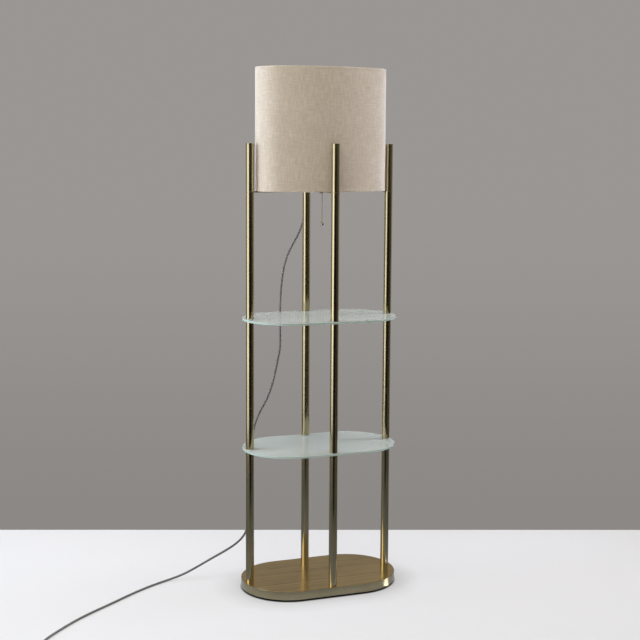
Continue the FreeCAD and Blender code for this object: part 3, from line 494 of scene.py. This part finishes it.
def make_shade():
    places, profile = oval(), shade_profile()
    rings = []
    for out, height in profile:
        rings.append([point + way * out + Vector((0, 0, height)) for point, way in places])
    heights = lengths([Vector((out, 0, height)) for out, height in profile])
    around = lengths([point for point, _ in places] + [places[0][0]])
    piece = add_skin("linen_drum", rings, heights, around)
    piece.data.materials.append(linen())
    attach(piece, "lamp")
    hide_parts("shade_fabric")


# ---------------------------------------------------------------- metal, glass and plastic finishes

GILT = (0.50, 0.405, 0.20)
SOOT = grey(0.012)
CHARCOAL = grey(0.03)


def antique_brass(name, grain, tone, rough, depth, lacquer, side=None, swing=(0.76, 1.22)):
    """Dark gilt brass under lacquer; side is the grain of the upright faces and their tone, a
    painted reflection set apart from the flat faces' tone.
    """
    f = Finish(name)
    brushed = f.noise(f.place(grain), 4, 1, 0.6)
    streak = f.noise(f.place([part / 6 for part in grain]), 3, 1, 0.6)
    if side:
        side_grain, upright_painted_reflection_tone = side
        flat = abs(f.upward()).between(0.5, 0.8)
        brushed = flat * brushed + (1 - flat) * f.noise(f.place(side_grain), 4, 1, 0.6)
        streak = flat * streak + (1 - flat) * 0.5
        # Painted reflection: the upright faces take a tone of their own, apart from the flat faces,
        # for how they reflect their surroundings.
        tone = f.mix(flat, upright_painted_reflection_tone, tone)
    patch = f.noise(f.place(), 3, 9, 0.55)
    fine = f.noise(f.place(), 3, 260, 0.6)
    share = brushed * 0.25 + streak * 0.5 + patch * 0.25
    level = share.between(0.32, 0.68, *swing)
    level = f.node("ShaderNodeCombineColor", None, {0: level, 1: level, 2: level})
    return f.surface(
        base_color=f.mix(1.0, level, tone, "MULTIPLY"), metallic=1.0,
        roughness=rough + (patch - 0.5) * 0.03 + (fine - 0.5) * 0.015,
        normal=f.relief(brushed, depth),
        coat_weight=1.0, coat_roughness=0.08, coat_ior=lacquer,
    )


def plain_metal(name, tone, rough, scale=300):
    """Plated or turned metal with faint darker patches."""
    f = Finish(name)
    patch = f.noise(f.place(), 4, scale, 0.6)
    dark = tuple(part * 0.8 for part in tone)
    return f.surface(
        base_color=f.mix(patch.between(0.3, 0.7), dark, tone), metallic=1.0,
        roughness=rough + (patch - 0.5) * 0.2, normal=f.relief(patch, 0.00005, 0.4),
    )


def plain_solid(name, dark, pale, rough, scale, depth=0.00008):
    """Moulded, painted or pressed material with a fine grain."""
    f = Finish(name)
    grain = f.noise(f.place(), 4, scale, 0.6)
    broad = f.noise(f.place(), 2, scale / 12, 0.5)
    return f.surface(
        base_color=f.mix((grain * 0.6 + broad * 0.4).between(0.3, 0.7), dark, pale),
        roughness=rough + (grain - 0.5) * 0.2, normal=f.relief(grain, depth, 0.6),
    )


def clouded(name, dark, pale, rough, scale, clear, ior):
    """Milky glass or plastic that lets some light through."""
    f = Finish(name)
    etch = f.noise(f.place(), 3, scale, 0.6)
    return f.surface(
        base_color=f.mix(etch.between(0.3, 0.7), dark, pale), roughness=rough + (etch - 0.5) * 0.1,
        transmission_weight=clear, ior=ior,
    )


def frosted_glass():
    """Pale green glass, etched on its faces and polished on its edge."""
    f = Finish("frosted glass")
    edge = 1 - abs(f.upward()).between(0.35, 0.75)
    etch = f.noise(f.place(), 3, 900, 0.6)
    cloud = f.noise(f.place(), 2, 7, 0.5)
    mist = (etch * 0.4 + cloud * 0.6).between(0.3, 0.7)
    face = f.mix(mist, (0.475, 0.487, 0.413), (0.535, 0.547, 0.473))
    return f.surface(
        base_color=f.mix(edge, face, (0.42, 0.50, 0.425)),
        roughness=(1 - edge) * (0.14 + (etch - 0.5) * 0.04) + edge * 0.06,
        normal=f.relief(etch, 0.000008, 0.5),
        transmission_weight=0.10, ior=1.5, specular_ior_level=0.3,
    )


def dress_nodes():
    """Each CAD node that shows gets the finish of its slot."""
    finishes = {
        "base_brass": antique_brass(
            "brushed base brass", grain=(5, 600, 600), tone=(0.66, 0.465, 0.15), rough=0.20,
            # The upright faces' tone (0.50, 0.42, 0.25) is painted reflection; their grain running
            # round the base is real.
            depth=0.00016, lacquer=1.15, side=((4, 4, 900), (0.50, 0.42, 0.25)), swing=(0.70, 1.24),
        ),
        "pole_brass": antique_brass(
            "polished pole brass", grain=(700, 700, 5), tone=GILT, rough=0.17,
            depth=0.00001, lacquer=1.85,
        ),
        "frame_brass": antique_brass(
            "satin frame brass", grain=(300, 300, 300), tone=GILT, rough=0.36,
            depth=0.00003, lacquer=1.5,
        ),
        "weight_iron": plain_solid(
            "painted iron", SOOT, CHARCOAL, rough=0.6, scale=500, depth=0.0003,
        ),
        "cover_steel": plain_solid(
            "black powder coat", (0.012, 0.012, 0.013), (0.028, 0.028, 0.03), rough=0.5, scale=900,
        ),
        "foot_rubber": plain_solid("black rubber", SOOT, CHARCOAL, rough=0.85, scale=700),
        "fastener_steel": plain_metal("zinc plate", (0.60, 0.60, 0.58), rough=0.35),
        "washer_clear": clouded(
            "clear nylon", (0.62, 0.66, 0.64), (0.74, 0.78, 0.76), rough=0.25, scale=700,
            clear=0.4, ior=1.5,
        ),
        "shelf_glass": frosted_glass(),
        "shade_backing": plain_solid(
            "white backing", (0.74, 0.72, 0.67), (0.82, 0.80, 0.75), rough=0.55, scale=120,
        ),
        "ring_white": plain_solid(
            "white enamel", (0.74, 0.73, 0.70), (0.82, 0.81, 0.78), rough=0.35, scale=300,
        ),
        "holder_brass": plain_metal("holder brass", (0.62, 0.46, 0.22), rough=0.24),
        "sleeve_board": plain_solid(
            "insulating board", (0.45, 0.38, 0.27), (0.6, 0.52, 0.38), rough=0.85, scale=600,
        ),
        "holder_phenolic": plain_solid(
            "black phenolic", (0.014, 0.012, 0.01), (0.03, 0.026, 0.02), rough=0.3, scale=400,
        ),
        "contact_brass": plain_metal("contact brass", (0.72, 0.55, 0.26), rough=0.3),
        "bulb_frost": clouded(
            "frosted bulb", (0.80, 0.80, 0.77), (0.88, 0.88, 0.86), rough=0.28, scale=1500,
            clear=0.25, ior=1.45,
        ),
        "bulb_cap": plain_metal("bulb cap", (0.72, 0.72, 0.71), rough=0.32),
        "chain_brass": plain_metal("chain brass", (0.58, 0.47, 0.27), rough=0.26, scale=900),
        "ball_metal": plain_metal("ball brass", (0.80, 0.75, 0.62), rough=0.16, scale=500),
        "wire_insulation": plain_solid(
            "gold insulation", (0.5, 0.42, 0.22), (0.62, 0.55, 0.33), rough=0.35, scale=900,
        ),
        "bush_rubber": plain_solid("moulded rubber", SOOT, CHARCOAL, rough=0.7, scale=900),
        "plug_black": plain_solid(
            "moulded plug", (0.014, 0.014, 0.015), (0.03, 0.03, 0.032), rough=0.45, scale=900,
        ),
        "blade_brass": plain_metal("blade brass", (0.74, 0.60, 0.34), rough=0.3),
    }
    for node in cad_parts.values():
        for place in node.material_slots:
            if place.material.name in finishes:
                place.material = finishes[place.material.name]


# ---------------------------------------------------------------- studio

FLOOR_REACH = 30
WALL_TOP = 12
WALL_BACK = 0.547
WALL_SKEW = 0.0197
SKY_GREY = 0.305
SKY_FILL = 0.42
SKY_LOW = 0.10
BASE_STRAIGHT = 0.1
# Distances from the base's outline where the floor's painted shadow under the base ends.
UNDER_BASE = 0.1475
BESIDE_BASE = 0.1495


def softbox(name, place, aim, size, radiance, tint=(1, 1, 1), glossy=True, diffuse=True):
    """A soft lamp of a given brightness on its face, out of the camera's own view."""
    lamp = bpy.data.lights.new(name, "AREA")
    lamp.shape = "RECTANGLE"
    lamp.size, lamp.size_y = size
    lamp.color = tint
    lamp.energy = radiance * math.pi * size[0] * size[1]
    stand = bpy.data.objects.new(name, lamp)
    bpy.context.scene.collection.objects.link(stand)
    stand.location = place
    stand.rotation_euler = (Vector(aim) - Vector(place)).to_track_quat("-Z", "Y").to_euler()
    stand.visible_camera = False
    stand.visible_glossy = stand.visible_transmission = glossy
    stand.visible_diffuse = diffuse


def from_view(angle, distance, height):
    """A point at an angle to the right of the way from the lamp to the camera."""
    turn = math.radians(angle)
    flat = (RIGHTWARD * math.sin(turn) - INWARD * math.cos(turn)) * distance
    return flat + Vector((0, 0, height))


def set_lights():
    """Two soft lamps, two cold ones past the shade's edges, and two that only gloss picks up."""
    cool = (0.96, 1.0, 1.04)
    cold_left = (0.82, 1.02, 1.34)
    cold_right = (0.93, 1.04, 1.34)
    softbox(
        "left softbox", from_view(-54, 2.2, 1.05), aim=(0, 0, 1.05),
        size=(1.9, 1.5), radiance=1.8, tint=cool,
    )
    softbox(
        "low left softbox", from_view(-54, 2.2, 0.16), aim=(0, 0, 0.16),
        size=(1.9, 0.28), radiance=1.3, tint=cool, diffuse=False,
    )
    softbox(
        "left edge softbox", from_view(-87, 2.0, 1.5), aim=(0, 0, 1.4),
        size=(1.25, 1.0), radiance=7.9, tint=cold_left, glossy=False,
    )
    softbox(
        "right edge softbox", from_view(103, 1.5, 1.5), aim=(0, 0, 1.4),
        size=(0.45, 1.1), radiance=10.4, tint=cold_right, glossy=False,
    )
    softbox(
        "top softbox", (-0.2, -0.2, 3.2), aim=(0, 0, 0),
        size=(2.6, 2.6), radiance=1.9, glossy=False,
    )
    softbox(
        "floor strip", (0.258, -0.125, 0.003), aim=(0.258, -0.125, 1),
        size=(0.13, 0.022), radiance=2.5, diffuse=False,
    )


def set_dark_ramp():
    """A black ramp that only the gloss of the metal and the glass picks up, and only from above."""
    left, right = -12, 30
    near, near_height = 1.0, 0.012
    far, far_height = 12.0, 1.42
    corners = [
        from_view(left, near, near_height), from_view(right, near, near_height),
        from_view(right, far, far_height), from_view(left, far, far_height),
    ]
    ramp = add_mesh("dark_ramp", corners, [(3, 2, 1, 0)])
    f = Finish("black felt")
    fibre = f.noise(f.place(), 2, 40)
    black = f.node("ShaderNodeBsdfDiffuse", None, {"Color": f.mix(fibre, grey(0.004), grey(0.01))})
    clear = f.node("ShaderNodeBsdfTransparent")
    behind = f.node("ShaderNodeNewGeometry", output="Backfacing")
    f.end(f.node("ShaderNodeMixShader", None, {0: behind, 1: black, 2: clear}))
    ramp.data.materials.append(f.holder)
    ramp.visible_camera = ramp.visible_diffuse = False
    ramp.visible_shadow = ramp.visible_transmission = False


def set_world():
    """A warm fill for matt surfaces, and a grey sky for the camera and for gloss."""
    world = bpy.data.worlds.new("studio")
    bpy.context.scene.world = world
    f = Finish("studio", world)
    seen = f.rays("Is Camera Ray", "Is Transmission Ray")
    glossy = f.rays("Is Glossy Ray")
    _, _, upward = f.split(f.node("ShaderNodeTexCoord", output="Generated"))
    sky = upward.between(0.1, 0.6, SKY_LOW, SKY_FILL)
    strength = seen * SKY_GREY + (1 - seen) * (glossy * sky + (1 - glossy) * SKY_FILL)
    tint = f.mix(seen.most(glossy), (1.0, 0.97, 0.93), grey(1))
    shader = f.node("ShaderNodeBackground", None, {"Color": tint, "Strength": strength})
    f.node("ShaderNodeOutputWorld", None, {"Surface": shader})


def set_floor():
    """A pale floor that gloss sees darker, with painted shadow: near black under the base and
    glowing less close to it.
    """
    far = FLOOR_REACH
    corners = [(-far, -far, 0), (far, -far, 0), (far, far, 0), (-far, far, 0)]
    floor = add_mesh("floor", corners, [(0, 1, 2, 3)])
    f = Finish("pale gloss floor")
    pale = f.mix(f.noise(f.place(), 2, 1.5), (0.74, 0.74, 0.745), (0.78, 0.78, 0.785))
    across, deep, _ = f.split(f.place())
    past_straight = (abs(across) - BASE_STRAIGHT).most(0)
    away = (past_straight ** 2 + deep ** 2) ** 0.5
    dull_from = 0.9
    dull = f.ramp(away / dull_from, (0.18, grey(0.42)), (0.29, grey(0.17)), (1, grey(0.10)))
    colour = f.mix(f.rays("Is Glossy Ray"), pale, dull)
    seen = f.rays("Is Camera Ray", "Is Transmission Ray")
    # Painted shadow: to the camera the floor is near black under the base, and its glow fades
    # towards the base.
    camera_tone_painted_shadow = f.ramp(away, (UNDER_BASE, grey(0.03)), (BESIDE_BASE, (0.325, 0.30, 0.279)))
    camera_glow_painted_shadow = f.ramp(away, (UNDER_BASE, grey(0)), (BESIDE_BASE, grey(0.34)), (0.24, grey(0.44)))
    floor.data.materials.append(f.surface(
        base_color=f.mix(seen, colour, camera_tone_painted_shadow), roughness=0.12, specular_ior_level=0.0,
        emission_color=f.mix(seen, grey(0), camera_glow_painted_shadow), emission_strength=1.0,
    ))


def set_backdrop():
    """A grey wall, darker at its foot, that is clear from behind."""
    middle = INWARD * WALL_BACK
    along = RIGHTWARD + INWARD * WALL_SKEW
    left, right = [middle + along * side for side in (-FLOOR_REACH, FLOOR_REACH)]
    top = Vector((0, 0, WALL_TOP))
    wall = add_mesh("backdrop", [left, right, right + top, left + top], [(0, 1, 2, 3)])
    f = Finish("grey backdrop")
    _, _, height = f.split(f.place())
    foot, body = (0.262, 0.247, 0.236), (0.325, 0.307, 0.294)
    tone = f.ramp(height.between(0, 1.2), (0, foot), (1, body))
    shown = f.node("ShaderNodeEmission", None, {"Color": tone})
    matt = f.node("ShaderNodeBsdfDiffuse", None, {"Color": (*grey(0.7), 1)})
    seen = f.rays("Is Camera Ray", "Is Glossy Ray", "Is Transmission Ray")
    front = f.node("ShaderNodeMixShader", None, {0: seen, 1: matt, 2: shown})
    behind = f.node("ShaderNodeNewGeometry", output="Backfacing")
    clear = f.node("ShaderNodeBsdfTransparent")
    f.end(f.node("ShaderNodeMixShader", None, {0: behind, 1: front, 2: clear}))
    wall.data.materials.append(f.holder)


# ---------------------------------------------------------------- the whole scene

set_camera()
make_cord()
make_shade()
dress_nodes()
set_floor()
set_backdrop()
set_dark_ramp()
set_world()
set_lights()
